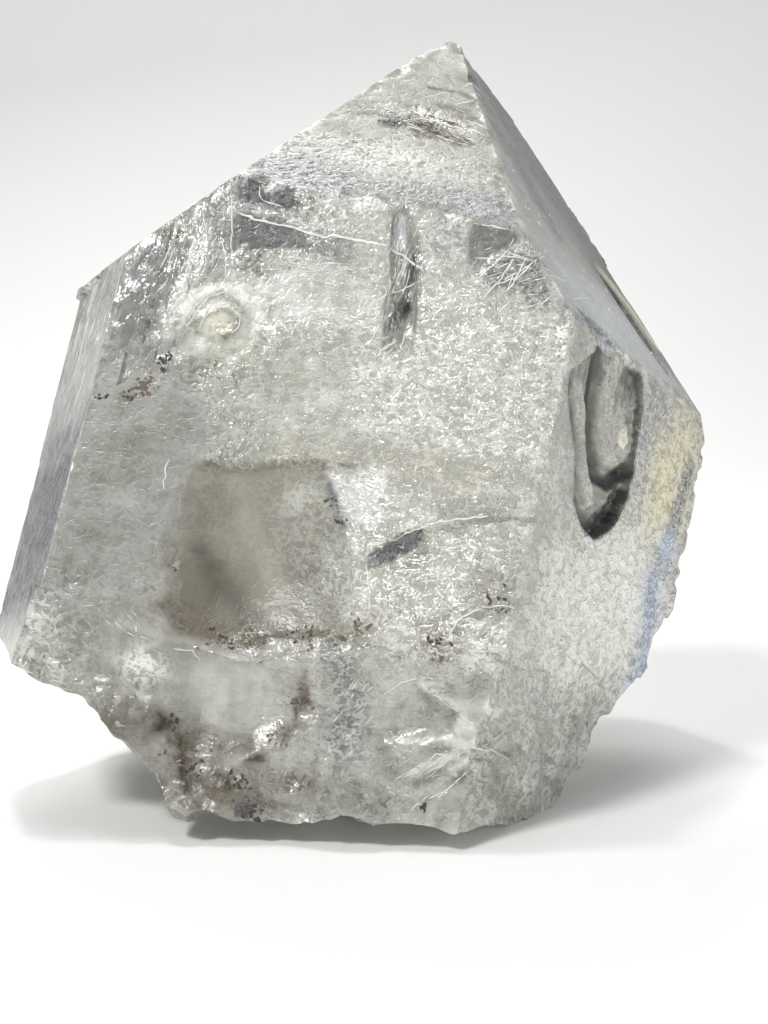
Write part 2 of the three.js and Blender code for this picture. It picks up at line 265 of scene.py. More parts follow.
# The hollow in the right face has the form of an ear: two winding channels round a lump that carries a
# ringed swirl, and a dark pool at the foot. The skin is made finer there before its floor is given.
EAR = [
    (6.0, 19.3), (8.8, 19.2), (12.6, 18.8), (16.4, 17.9), (19.6, 16.4), (20.7, 14.2), (20.9, 10.6),
    (21.2, 7.2), (20.9, 4.4), (18.9, 1.7), (16.2, 0.0), (13.4, 0.7), (11.3, 2.2), (10.6, 4.6), (9.3, 6.9),
    (7.6, 9.0), (6.0, 11.4), (6.2, 13.0), (7.9, 14.6), (9.4, 16.0), (9.6, 16.9), (8.0, 17.8),
]
EAR_LOOP = [
    (7.6, 18.7), (9.6, 18.2), (11.2, 17.0), (11.7, 14.6), (11.8, 12.1), (12.5, 9.6), (13.6, 7.6),
    (15.6, 6.3), (18.2, 6.3), (20.6, 7.9),
]
EAR_LEFT = [(6.6, 12.6), (7.2, 10.8), (8.8, 8.7), (10.2, 6.8), (11.1, 4.6), (11.8, 2.8)]
EAR_POOL = [(11.6, 2.9), (13.6, 1.6), (16.4, 1.2), (19.0, 3.0), (20.4, 5.4)]
EAR_RIM = [(15.0, 17.9), (18.6, 16.4), (19.9, 14.3), (20.3, 12.0), (20.7, 8.6)]
EAR_STRIP = [(8.6, 12.4), (10.2, 9.9), (11.7, 7.4), (12.9, 5.2), (14.8, 3.4)]
EAR_LUMP = [(14.6, 16.6), (14.1, 14.4), (14.6, 12.2), (15.4, 9.6), (17.2, 8.2)]
SWIRL = (17.9, 10.6)


def pick(piece, chosen):
    """Selects a mesh's chosen faces and nothing else."""
    for name, values in (("vertices", False), ("edges", False), ("polygons", chosen)):
        part = getattr(piece.data, name)
        part.foreach_set("select", np.zeros(len(part), bool) | values)


across, up, out = flat(to_own(readings(crystal.data.polygons, "center")), RIGHT)
pick(crystal, (outline(EAR, 1.0)(across, up) < 1.6) & (np.abs(out) < 4))
bpy.ops.object.mode_set(mode="EDIT")
bpy.ops.mesh.select_mode(type="FACE")
bpy.ops.mesh.subdivide(number_cuts=1)
bpy.ops.object.mode_set(mode="OBJECT")

own = to_own(readings(crystal.data.vertices, "co"))
ragged = 0.6 * grain(own, 2.6, 31) + 0.4 * grain(own, 0.9, 17)
across, up, out = flat(own, RIGHT)

# The floor is shallow along the right rim and deeper inside. Each path then brings it to its own
# height, and rings run round the swirl and beside the loop.
ear_floor = -0.25 - 0.6 * step(20.5 - across - 0.12 * (up - 8) ** 2 / 8, 0.5, 5.0)
for shape, low in (
    (line(EAR_LUMP, 2.2), -0.25),
    (line(EAR_STRIP, 1.3), -0.2),
    (line(EAR_LOOP, 1.5), -1.35),
    (line(EAR_LEFT, 1.1), -1.1),
    (line(EAR_RIM, 0.7), -0.35),
    (line(EAR_POOL, 1.9), -1.2),
):
    ear_floor += (1 - step(shape(across + 0.2 * ragged, up), 0.1, 1.05)) * (low - ear_floor)
from_swirl = oval(SWIRL, (1.0, 1.35), 15)(across, up)
ear_floor += 0.2 * ripples(from_swirl, 0.95) * (1 - step(from_swirl, 1.7, 2.5))
from_loop = line(EAR_LOOP, 1.0)(across, up) + 0.5 * ragged
ear_floor += 0.1 * ripples(from_loop, 1.05) * step(from_loop, 0.6, 1.4)
ear_floor += 0.12 * grain(own, (2.2, 2.2, 1.2), 37)
sink(own, RIGHT, outline(EAR, 0.5), right_skin(up) + ear_floor, soft=0.9)

depth, from_edge = depths(own)

# The hillock: two raised arcs and faint rings round a low peak.
HILLOCK = (-15.8, 10.7)
ARCS = (
    [(-17.1, 9.6), (-17.0, 10.8), (-16.2, 11.9), (-15.0, 12.3), (-13.9, 11.8), (-13.7, 10.8), (-14.3, 9.8)],
    [(-18.6, 8.6), (-18.2, 9.9), (-17.8, 11.2), (-17.1, 12.8), (-15.7, 13.7), (-14.4, 13.3), (-13.4, 12.4)],
)
ARC_HEIGHT = 0.22
RING_HEIGHT = 0.06
across, up, out = flat(own, FRONT)
on_skin = np.abs(out) < 1.5
from_peak = np.hypot(across - HILLOCK[0], (up - HILLOCK[1]) * 1.1) + 0.4 * ragged
height = RING_HEIGHT * ripples(from_peak, 1.3) * (1 - step(from_peak, 3.0, 5.5)) * on_skin
for arc in ARCS:
    height += ARC_HEIGHT * (1 - step(line(arc, 0.55)(across, up), 0.2, 1.2)) * on_skin

# The star: a bruise in the lower right of the break, with lumps and ridges that run out from it. The
# lumps are noise over the angle and the distance, so they are long.
STAR = (14.6, -20.9)
STAR_RAYS = (
    [(9.1, -16.8), (10.8, -17.5), (12.4, -18.2), (13.8, -19.5), (15.2, -20.8)],
    [(10.7, -21.1), (12.9, -20.9), (15.2, -20.8), (17.2, -20.0)],
    [(9.9, -24.3), (11.9, -22.7), (14.0, -21.2), (15.3, -21.0), (17.6, -21.3)],
    [(12.7, -23.7), (13.9, -22.4), (15.2, -21.0), (16.2, -19.7), (17.6, -17.9)],
)
RAY_HEIGHT = 0.16
LUMP_HEIGHT = 0.2
from_star = np.hypot(across - STAR[0], up - STAR[1])
round_star = 9 * np.arctan2(up - STAR[1], across - STAR[0]) / math.pi
fan = np.stack([round_star, from_star / 9, 0 * up], 1)
height += LUMP_HEIGHT * grain(fan, 1.0, 41) * (1 - step(from_star, 9, 15)) * step(from_star, 0, 3)
for points in STAR_RAYS:
    height += RAY_HEIGHT * (1 - step(line(points, 0.4)(across, up), 0.1, 1.3)) * (np.abs(out) < 7)

# The break, the belt above it and the floors of hollows lie below every face, and are rough. Only the
# floors of the imprint and the ear, a calm place at the lower left and the star's ground are smoother.
CALM_DEPTH = 0.7
NICK_DEPTH = 0.35
rough = step(depth, 0.3, 1.4)
in_ear = 1 - step(outline(EAR, 1.0)(*flat(own, RIGHT)[:2]), 0.8, 1.4)
in_imprint = 1 - step(outline(IMPRINT, 1.0)(across, up), 0.5, 1.2)
rough *= 1 - 0.85 * np.maximum(in_ear, in_imprint)
calm = 1 - step(oval((-10, -20.5), (9, 5.5), -12)(across, up), 0.7, 1.2)
rough *= 1 - 0.75 * calm
height -= CALM_DEPTH * calm * (np.abs(out) < 5)
rough *= 1 - 0.6 * (1 - step(oval((15.5, -23), (9, 7.5))(across, up), 0.6, 1.3))

# Broad swells, then lumps and sharp crests where it is rough, and nicks along the edges.
height += 0.03 * grain(own, (2.2, 2.2, 1.6)) + 0.045 * grain(own, (9, 9, 7), 3)
height += rough * (0.25 * grain(own, 2.4, 11) + 0.14 * grain(own, 1.1, 5))
height += rough * 1.7 * (0.25 - np.abs(grain(own, (6, 6, 4), 51)))
height += rough * 0.8 * (0.25 - np.abs(grain(own, (2.8, 2.8, 1.8), 57)))
nick = step(grain(own, 1.7, 21), 0.0, 0.45) * (1 - step(from_edge, 0.1, 1.0)) * (depth < 0.4)
height -= NICK_DEPTH * nick

normals = readings(crystal.data.vertices, "normal") @ np.array(lean)
own += normals * height[:, None]

# The point is drawn out a little.
POINT_GROWTH = 0.7
from_point = np.linalg.norm(own - own[np.argmax(own[:, 2])], axis=1)
own[:, 2] += POINT_GROWTH * (1 - step(from_point, 0.2, 4.0))
put_back(crystal, own)
bpy.ops.object.shade_smooth_by_angle(angle=math.radians(28))

# ---------------------------------------------------------------- crystal, zones
# Cloudiness, etching and stains differ from place to place, so each face is laid out in zones. A zone
# gives its place a colour and levels, which the finish below turns into haze, glints and stains.

# haze: cloudiness. fleck: pale glints of the etching. stain: brown and black stains. streak: how far
# the etching is drawn out along the crystal. etch: its depth. foil: its gleam. veil: mottling.
LEVELS = {"haze": 0.4, "fleck": 0.5, "stain": 0.0, "streak": 0.0, "etch": 0.6, "foil": 0.2, "veil": 1.0}

own = to_own(readings(crystal.data.vertices, "co"))
count = len(crystal.data.loops)
corner = np.empty(count, np.int32)
crystal.data.loops.foreach_get("vertex_index", corner)
sides = np.empty(len(crystal.data.polygons), np.int32)
crystal.data.polygons.foreach_get("loop_total", sides)
middles = to_own(readings(crystal.data.polygons, "center"))
facing = np.repeat(np.argmin([-flat(middles, face)[2] for face in FACES], axis=0), sides)


def tone(red, green, blue):
    """A colour from display values of 0 to 255, as a linear one."""
    return [((level / 255 + 0.055) / 1.055) ** 2.4 for level in (red, green, blue)]


# Every corner of the mesh carries a colour and levels. The mottling is worked out at the points.
ragged = (0.22 * grain(own, 2.6, 31) + 0.18 * grain(own, 0.9, 17))[corner]
mottle = 0.8 * grain(own, (4.0, 4.0, 2.6), 61) + 0.5 * grain(own, (3.0, 3.0, 0.9), 71)
mottle += 0.6 * grain(own, (1.0, 1.0, 5.0), 81) + 0.3 * grain(own, 0.9, 91)
depth, from_edge = depths(own)
on_edge = (1 - step(from_edge, 0.1, 0.45)) * (depth < 0.9) * step(mottle, -0.1, 0.4)
own, mottle, on_edge = own[corner], mottle[corner], on_edge[corner]
shade = np.tile(tone(196, 196, 190), (count, 1))
amounts = {name: np.full(count, level) for name, level in LEVELS.items()}


def zone(face, shape, colour=None, soft=0.3, deep=4.0, alone=True, strength=1.0, **levels):
    """Gives a shape on a face its colour and levels, as far under the face as it is deep.

    They fade in over a soft rim, and keep to the skin that is nearest to the face if alone.
    """
    across, up, out = flat(own, face)
    far = np.hypot(np.maximum(shape(across, up), 0), out / deep)
    inside = strength * (1 - step(far + ragged, 1 - soft, 1 + soft))
    if alone:
        inside *= facing == FACES.index(face)
    if colour is not None:
        shade[:] += inside[:, None] * (np.array(tone(*colour)) - shade)
    for name, value in levels.items():
        amounts[name] += inside * (value - amounts[name])


def sunken(shape, colour, deep=9, **levels):
    """A zone of the front's hollows and break, whose skin lies deep and looks many ways."""
    zone(FRONT, shape, colour, deep=deep, alone=False, **levels)


# The faces at the back and the left face of the tip are glassy and lightly clouded.
for around in (120, 180, 240):
    zone((around, False), oval((0, 0), (90, 90)), (216, 216, 210), haze=0.55, fleck=0.5, streak=0.4,
         etch=0.45, foil=0.25, veil=0.7)
for around in (120, 180, 240, 300):
    zone((around, True), oval((0, 0), (90, 90)), (208, 208, 201), haze=0.6, fleck=0.35, streak=0.6,
         etch=0.35, foil=0.3, veil=0.5)

# The front tip face is pearly and smooth, with bluish flecks at its foot and a smoky plume.
zone(FRONT_TIP, oval((-3, 34), (40, 40)), (176, 175, 163), haze=0.95, fleck=0.15, etch=0.2, foil=0.0,
     veil=0.6)
zone(FRONT_TIP, oval((-2, 20), (22, 6)), (122, 123, 118), haze=0.95, fleck=0.3, etch=0.8, foil=0.1,
     soft=0.6)
zone(FRONT_TIP, oval((-2, 25.5), (9, 3)), (186, 186, 176), haze=0.9, fleck=0.6, etch=0.5, soft=0.8)
zone(FRONT_TIP, oval((-11, 19.6), (5, 2.2)), (104, 110, 122), haze=0.9, fleck=0.7, strength=0.7)
zone(FRONT_TIP, oval((6.0, 20), (4, 2.2)), (110, 116, 128), haze=0.9, fleck=0.7, strength=0.7)
zone(FRONT_TIP, oval((-2.2, 33.2), (4.5, 2.4), -14), (120, 117, 102), haze=1.0, fleck=0.8, etch=0.7,
     soft=0.7)
for points, wide in (
    ([(-6.4, 32.1), (-4.4, 32.7), (-2.0, 32.3), (0.2, 31.6), (1.8, 30.9)], 0.7),
    ([(-10.4, 32.7), (-8.1, 33.6), (-5.9, 33.5), (-4.7, 34.2)], 0.4),
    ([(-5.9, 33.5), (-3.6, 33.4), (-2.0, 32.6)], 0.5),
    ([(-3.6, 31.4), (-1.4, 30.9), (0.8, 30.4)], 0.5),
    ([(-4.2, 40.9), (-0.9, 41.0), (1.0, 39.7)], 0.4),
):
    zone(FRONT_TIP, line(points, wide), (78, 73, 58), haze=1.7, fleck=0.2, soft=1.0)
zone(FRONT_TIP, line([(-4.0, 36.0), (-1.8, 34.6), (0.8, 33.6)], 0.8), (176, 172, 152), haze=1.0,
     fleck=1.1, foil=0.5, soft=0.8)
zone(FRONT_TIP, oval((-6.2, 32.2), (1.2, 0.9)), (30, 27, 22), haze=1.9, fleck=0.0, soft=0.6)
for points in ([(-5.6, 36.2), (-3.6, 36.2)], [(-2.6, 37.6), (0.2, 37.2)], [(-0.4, 35.9), (2.0, 36.0)]):
    zone(FRONT_TIP, line(points, 0.6), (110, 107, 92), haze=1.0, soft=0.8)

# Under it on the front face: dark windows left and right of the slot, then bright clouds.
zone(FRONT, oval((-2, 12), (24, 18)), (198, 198, 190), haze=0.6, fleck=0.7, etch=0.8, foil=0.3)
zone(FRONT, outline([(-17.6, 25.4), (-12.2, 25.2), (-10.6, 22.9), (-12.6, 22.3), (-16.7, 22.2)], 1.0),
     (70, 73, 77), haze=1.15, fleck=0.2, etch=0.2, foil=0.3)
LEFT_WINDOW = [
    (-16.6, 21.6), (-11.0, 21.2), (-9.2, 20.6), (-8.8, 18.9), (-12.6, 18.4), (-15.4, 18.0), (-16.3, 17.0),
    (-16.8, 19.4),
]
zone(FRONT, outline(LEFT_WINDOW, 0.9), (96, 98, 98), haze=1.1, fleck=0.15, etch=0.3, foil=0.2)
MIDDLE_WINDOW = [(-9.5, 20.9), (-5.6, 20.9), (-4.6, 18.7), (-6.9, 17.2), (-8.8, 18.0)]
zone(FRONT, outline(MIDDLE_WINDOW, 1.0), (126, 128, 123), haze=0.85, fleck=0.6, soft=0.5)
RIGHT_WINDOW = [
    (4.7, 24.6), (8.3, 24.8), (9.2, 23.8), (8.7, 22.6), (7.5, 21.8), (6.9, 20.6), (5.9, 19.7),
    (4.7, 21.1), (4.3, 22.4),
]
zone(FRONT, outline(RIGHT_WINDOW, 0.9), (102, 103, 102), haze=1.4, fleck=0.15, etch=0.25, foil=0.1,
     soft=0.5)
OLIVE_WINDOW = [
    (6.2, 19.4), (7.4, 18.5), (10.2, 18.6), (11.1, 16.8), (13.6, 18.1), (11.3, 22.4), (8.9, 22.7),
    (7.4, 21.4),
]
zone(FRONT, outline(OLIVE_WINDOW, 0.9), (68, 68, 62), haze=1.3, fleck=0.55, etch=1.0, foil=0.3, soft=0.5)
zone(FRONT, oval((2.6, 23), (1.7, 2.4)), (150, 152, 148), haze=0.7, fleck=0.9)
zone(FRONT, oval((-9, 15.0), (6.5, 3.0)), (230, 230, 223), haze=0.75, fleck=0.4, etch=0.5)
zone(FRONT, oval((-4, 5.5), (10, 5)), (186, 186, 174), haze=0.8, fleck=0.4, etch=0.45, foil=0.1)
zone(FRONT, oval((8, 8), (9.5, 9)), (212, 212, 201), haze=0.7, fleck=1.1, etch=1.2, foil=0.36, soft=0.6)
zone(FRONT, oval((1, 1), (13, 2.0), 5), (172, 168, 148), haze=0.65, fleck=0.5, strength=0.8)

# The left band with its growth steps: blue-grey, with crumpled bright curtains, and the hillock.
zone(FRONT, oval((-22.8, 15), (6.5, 9), 12), (148, 151, 150), haze=0.75, fleck=0.4, streak=0.7, etch=0.6,
     foil=0.3)
CURTAIN = [(-19.8, 20.3), (-19.1, 18.5), (-19.0, 16.0), (-19.4, 13.7), (-20.1, 11.5), (-20.3, 9.2)]
for points, wide in ((CURTAIN, 0.8), ([(-25.2, 16.6), (-26.4, 13.8), (-27.2, 11.0)], 0.8)):
    zone(FRONT, line(points, wide), (236, 236, 228), haze=0.8, fleck=1.2, etch=1.2, foil=0.5, streak=0.4,
         soft=0.6)
zone(FRONT, oval((-22.3, 18.6), (1.7, 1.0), -20), (120, 112, 92), haze=0.8, fleck=0.9, soft=0.7)
zone(FRONT, oval(HILLOCK, (4.2, 4.4)), (240, 240, 229), haze=0.85, fleck=0.3, streak=0.0, etch=0.3,
     foil=0.1)
zone(FRONT, oval((-16.0, 10.9), (1.6, 1.3)), (250, 248, 226), haze=0.9, fleck=0.3, soft=0.7)
# Beside each raised arc, a darker line offset down and to the left is painted shade under it.
for arc in ARCS:
    zone(FRONT, line([(x - 0.3, y - 0.25) for x, y in arc], 0.3), (176, 174, 161), haze=0.8, soft=0.8)

# The lower left of the front face is calm.
zone(FRONT, oval((-21, -4), (9, 12), -6), (158, 157, 151), haze=0.95, fleck=0.15, etch=0.16, foil=0.0,
     veil=0.7)
zone(FRONT, line([(-25.0, -19.0), (-24.2, -21.5), (-21.8, -24.0)], 1.8), (226, 226, 214), haze=0.8,
     fleck=1.1, etch=0.9, soft=0.5)

# The break and the belt of chips.
sunken(oval((0, -26), (34, 9.5)), (176, 175, 167), haze=0.85, fleck=0.3, etch=0.4, foil=0.15, deep=20)
# A pale patch at its lower right is painted light, coming through the crystal onto skin that faces down.
sunken(oval((19, -25), (9, 8)), (222, 221, 214), haze=1.1, fleck=0.15, etch=0.3, deep=20)
zone(FRONT, oval((-11, -20.5), (9, 5.5), -12), (188, 187, 180), haze=0.9, fleck=0.1, etch=0.16, foil=0.0,
     deep=9)
sunken(oval((-10, -28), (9, 4), -15), (150, 145, 134), haze=0.9, fleck=0.15, etch=0.25, foil=0.0, deep=14)

# The imprint is grey-brown. The darker band and foot at its lower left, where it lies deepest, are painted
# shade, and a dark strip along its top edge is a painted shadow of that edge.
sunken(outline(IMPRINT, 0.8), (134, 131, 118), haze=1.2, fleck=0.12, etch=0.14, foil=0.0, veil=0.4)
# Its lower-left side is darkened by painted shade.
IMPRINT_SHADED_SIDE = [
    (-14.6, -4.6), (-14.2, -9.6), (-14.2, -13.0), (-15.6, -15.2), (-10.9, -16.9), (-9.0, -12.0),
    (-12.0, -6.0),
]
zone(FRONT, outline(IMPRINT_SHADED_SIDE, 1.2), (128, 122, 108), haze=1.1, fleck=0.1, etch=0.2, foil=0.0,
     soft=0.6, deep=9)
zone(FRONT, oval((-3.2, -5.0), (3.6, 4.6), 25), (134, 132, 119), haze=1.2, fleck=0.4, etch=0.35, soft=0.7,
     deep=9)
zone(FRONT, oval((-4.8, -3.2), (1.6, 1.0), 25), (176, 174, 162), haze=1.0, fleck=0.5, soft=0.8, deep=9)
zone(FRONT, oval((-0.8, -9.8), (3.2, 4.0), 35), (114, 112, 100), haze=1.2, fleck=0.4, etch=0.3, soft=0.8,
     deep=9)
zone(FRONT, line([(-10.8, -3.4), (-8.6, -7.0), (-5.2, -11.4)], 0.9), (154, 149, 134), haze=1.1, soft=0.9,
     deep=9)
# The darkest part of that side and a dark band across it are painted shade.
sunken(oval((-10.6, -13.0), (4.8, 3.4), -30), (118, 112, 99), haze=1.3, fleck=0.0, etch=0.15, soft=0.8)
sunken(line([(-12.8, -9.4), (-10.4, -11.7), (-8.2, -13.6), (-6.5, -15.0)], 0.9), (90, 83, 71), haze=1.3,
       fleck=0.0, soft=1.0)
# The darker foot below is painted shade too.
IMPRINT_SHADED_FOOT = [
    (-15.6, -15.0), (-13.4, -13.8), (-9.0, -14.8), (-6.0, -15.4), (-4.6, -16.4), (-6.6, -17.4),
    (-9.8, -17.5), (-13.2, -16.8),
]
sunken(outline(IMPRINT_SHADED_FOOT, 0.9), (106, 97, 83), haze=1.25, fleck=0.1, etch=0.3, soft=0.7)
sunken(line([(-4.5, -14.9), (0, -14.7), (3.0, -13.6), (3.6, -11.8)], 0.8), (98, 88, 71), haze=1.2,
       stain=0.28, soft=0.5)
# A dark strip along the top edge is a painted shadow of that edge.
sunken(line([(-13.8, -2.1), (-9.3, -1.5), (-5.4, -0.2), (-3.3, 0.0)], 0.5), (106, 102, 84), haze=1.1,
       soft=0.6)

# The bright facet at its upper right, the grey pit beside that, and the sparkling sunken plate.
sunken(outline([(-2.8, -0.6), (1.6, 1.0), (3.3, -1.5), (3.0, -5.4), (0.9, -6.0), (-1.0, -3.4)], 1.1),
       (228, 229, 224), haze=0.8, fleck=1.2, etch=0.9, foil=0.3, soft=0.6, deep=7)
zone(FRONT, oval((10, -8), (9.5, 6.6)), (214, 213, 200), haze=0.75, fleck=1.3, etch=1.2, foil=0.4, deep=6)
zone(FRONT, oval((13.8, -7.6), (3.2, 2.4)), (152, 148, 134), haze=0.6, fleck=0.6, strength=0.8)
sunken(outline([(2.4, -8.2), (2.2, -6.6), (4.4, -4.4), (6.2, -3.4), (6.6, -4.6), (4.6, -6.8)], 0.9),
       (74, 77, 82), haze=1.5, fleck=0.35, etch=0.5, foil=0.1, deep=7)
zone(FRONT, line([(8.4, -1.6), (12.4, -0.6)], 1.2), (150, 148, 138), haze=0.7, fleck=0.7)
sunken(line([(-2.6, -1.6), (-1.6, -3.3), (-0.6, -4.7)], 0.35), (98, 103, 110), haze=1.3, fleck=0.0,
       soft=0.9, deep=7)

# The slot. A pale bluish streak near its top is a painted highlight, and a dark line down it is painted
# shade in the groove.
SLOT = [
    (-2.7, 25.1), (-1.0, 24.8), (0.4, 22.4), (1.3, 19.8), (1.6, 17.4), (1.8, 14.8), (0.9, 11.3),
    (-0.8, 10.8), (-1.4, 13.8), (-1.6, 16.4), (-2.2, 20.2),
]
sunken(outline(SLOT, 0.7), (118, 117, 109), haze=0.85, fleck=0.6, etch=0.7, streak=1.0, foil=0.2, deep=7)
# A painted highlight near the top of the slot.
sunken(line([(-1.7, 23.6), (-1.3, 21.2)], 0.5), (226, 232, 238), haze=0.9, soft=0.6, deep=7)
# Painted shade down the groove.
sunken(line([(0.2, 20.6), (0.3, 18.8), (-0.4, 12.6)], 0.5), (66, 65, 59), haze=1.4, soft=0.9, deep=7)
sunken(oval((0.5, 15.6), (0.4, 0.9)), (36, 30, 20), haze=1.6, fleck=0.0, deep=7)

# A grey wedge, the star with its rays, and the stains of the break.
WEDGE = [(-0.6, -15.4), (3.4, -15.2), (3.9, -17.4), (5.2, -20), (5.2, -24.4), (2.4, -24.4), (1.6, -19.6)]
zone(FRONT, outline(WEDGE, 1.8), (104, 106, 104), haze=1.2, fleck=0.7, etch=0.9, foil=0.1, soft=0.7,
     deep=9)
sunken(oval((14.6, -21.5), (7.5, 6)), (182, 182, 174), haze=0.9, fleck=0.2, etch=0.25, soft=0.6, deep=12)
# Beside each ray, a darker line offset down and to the right is painted shade.
for points in STAR_RAYS:
    sunken(line(points, 0.3), (240, 240, 234), haze=1.0, fleck=0.5, soft=0.9, deep=12, strength=0.8)
    sunken(line([(x + 0.5, y - 0.8) for x, y in points[:3]], 0.4), (134, 134, 126), haze=1.0, soft=0.8,
           deep=12)
# A pale wedge between the rays is a painted lit facet.
sunken(outline([(12.6, -18.7), (14.5, -19.2), (13.8, -20.0), (12.5, -20.4)], 0.4), (218, 218, 211),
       haze=1.0, deep=12)
zone(FRONT, outline([(-1.1, -17.3), (-1.6, -20.8), (-0.9, -22.6), (0.1, -20.6)], 0.5), (98, 88, 72),
     haze=1.1, stain=0.35, deep=9)
zone(FRONT, oval((-1.9, -23.6), (1.3, 0.8), 30), (112, 101, 83), haze=1.1, stain=0.35, soft=0.6, deep=9)
sunken(oval((-13.3, -24.8), (1.5, 0.8)), (120, 112, 98), haze=1.0, soft=0.8)
sunken(line([(-10.4, -25.8), (-9.7, -27.5), (-8.4, -29.1), (-7.4, -30.3)], 1.0), (104, 95, 80), haze=1.1,
       stain=0.25, soft=0.6)
for points in (
    [(-10.6, -26.0), (-10.1, -27.4), (-9.9, -28.7), (-9.0, -30.2)],
    [(-6.6, -27.9), (-5.4, -28.3), (-5.5, -29.3), (-6.6, -29.2)],
    [(-4.8, -26.3), (-3.0, -25.9)],
    [(-12.9, -24.2), (-12.0, -24.8), (-12.6, -25.4)],
):
    sunken(line(points, 0.45), (48, 42, 34), haze=1.6, fleck=0.0, soft=0.9)
sunken(oval((-4.4, -29.6), (2.6, 0.9)), (112, 103, 89), haze=1.1, stain=0.3, soft=0.6)
sunken(oval((-3.5, -30.6), (1.2, 0.7)), (58, 59, 60), haze=1.2, stain=0.5)
sunken(oval((-0.2, -27.5), (1.8, 1.0), 8), (134, 130, 116), haze=0.9, soft=0.4)
sunken(line([(-6.1, -27.3), (-4.0, -24.8), (-3.1, -23.9), (-0.6, -25.6)], 0.5), (196, 194, 186), haze=0.9,
       soft=0.9)
zone(FRONT, oval((-15.3, -20.4), (1.9, 1.5)), (232, 232, 226), haze=0.8, fleck=1.1, etch=0.9, soft=0.8,
     deep=9)
zone(FRONT, oval((9.8, -13.4), (1.8, 1.6)), (132, 122, 105), haze=0.8, stain=0.25, soft=0.7, deep=9)
sunken(line([(19.3, -21.6), (20.0, -23.9), (20.6, -25.6)], 0.5), (130, 128, 120), haze=0.9, soft=0.8,
       deep=12)
sunken(line([(10.9, -11.6), (12.3, -10.0), (14.3, -9.3), (16.4, -9.2)], 0.45), (120, 118, 104), haze=0.9,
       soft=0.8)

# The right face is greyer, with a dark hollow. Its yellow glow and bright foot are painted light coming out
# through the crystal, its blue streak is a painted reflection, and the dark channels of the hollow are
# painted shade with painted dark reflections.
zone(RIGHT, oval((14, 2), (40, 40)), (196, 196, 188), haze=0.6, fleck=0.6, etch=0.55, foil=0.2, deep=9)
zone(RIGHT, oval((25, 11), (5, 8)), (132, 140, 150), haze=0.7, fleck=1.0, etch=0.9)
# The yellow glow: painted light coming out through the crystal.
zone(RIGHT, oval((29, 9), (4.6, 8), -15), (238, 225, 166), haze=1.0, fleck=1.1, etch=1.0, foil=0.2,
     soft=1.0)
zone(RIGHT, line([(33.0, 11.5), (31.6, 4)], 1.3), (96, 93, 82), haze=1.0, soft=0.6, foil=0.6)
# The bright foot: a painted pool of light coming out through the crystal.
zone(RIGHT, oval((22, -5), (10, 6.5), 12), (255, 255, 247), haze=1.5, fleck=1.5, etch=1.2, foil=0.15,
     soft=0.8)
# The blue streak: a painted reflection.
zone(RIGHT, line([(31.6, 3), (29.8, -1), (31, -6), (31, -10)], 1.9), (158, 178, 216), haze=0.9, fleck=0.8,
     soft=1.0)
zone(RIGHT, outline(EAR, 0.6), (116, 115, 106), haze=0.9, fleck=0.15, etch=0.06, foil=0.0, soft=0.15,
     veil=0.5, alone=False)
# A dark band at the top of the hollow is painted shade.
zone(RIGHT, line([(14.8, 17.6), (18.4, 15.8)], 1.4), (84, 82, 74), haze=1.1, fleck=0.05, alone=False)
# The channels are darkened by painted shade.
for points, wide in ((EAR_LOOP, 1.0), (EAR_LEFT, 0.8), (EAR_RIM, 0.4), (EAR_POOL, 0.9)):
    zone(RIGHT, line(points, wide), (52, 51, 46), haze=1.3, fleck=0.0, etch=0.03, foil=0.0, alone=False)
# The darkest crescents are painted dark reflections.
for points in (
    [(14.2, 6.4), (17.6, 5.6), (20.2, 7.2)],
    [(12.4, 1.8), (14.4, 0.6), (17.0, 0.8), (19.6, 3.2)],
):
    zone(RIGHT, line(points, 0.65), (26, 30, 32), haze=1.5, alone=False)
zone(RIGHT, line(EAR_STRIP, 0.7), (178, 176, 164), haze=0.7, fleck=0.6, etch=0.15, soft=0.5, alone=False)
zone(RIGHT, line(EAR_LUMP, 1.1), (168, 166, 152), haze=0.6, fleck=0.7, etch=0.2, soft=0.7, alone=False)
zone(RIGHT, oval(SWIRL, (1.9, 2.5), 15), (176, 175, 162), haze=0.6, fleck=0.5, alone=False)
# The swirl's bright core is a painted highlight.
zone(RIGHT, oval((18.6, 10.4), (0.7, 1.1), 15), (250, 247, 226), haze=1.0, fleck=0.8, alone=False)

# The right tip face is smooth and streaked. Its darkening towards its far edge is painted shade, and a dark
# leaf near that edge is a painted image of the hollow seen through the quartz.
zone(RIGHT_TIP, oval((14, 26), (60, 60)), (156, 158, 157), haze=0.95, fleck=0.3, streak=1.0, etch=0.3,
     foil=0.5)
# Painted shade, darker towards the far edge.
zone(RIGHT_TIP, line([(16.4, 41), (20.4, 31), (25.0, 22.5), (28.0, 16.5)], 7.0), (74, 74, 69), haze=1.4,
     fleck=0.1, foil=0.3, soft=1.0)
zone(RIGHT_TIP, line([(11.6, 36), (12.8, 26), (13.2, 20)], 1.6), (98, 100, 102), haze=1.1, foil=1.0,
     soft=0.9)
zone(RIGHT_TIP, line([(9, 36), (2, 14)], 1.3), (206, 206, 194), haze=0.9, fleck=0.4, foil=0.2, soft=0.8)
zone(RIGHT_TIP, oval((15, 9), (12, 5)), (182, 188, 198), haze=0.75, fleck=0.5, foil=0.3, soft=0.7)
# The dark leaf: a painted image of the hollow seen through the quartz.
zone(RIGHT_TIP, line([(20.7, 18.7), (23.1, 18.0), (25.9, 15.6), (28, 12.0), (30.7, 9.3)], 0.9),
     (72, 72, 60), haze=1.2, foil=0.5, soft=1.0)
zone(RIGHT_TIP, line([(23.5, 19.5), (27, 16.6), (29.4, 12.8)], 0.8), (206, 193, 148), haze=0.9, fleck=0.9,
     soft=1.0)

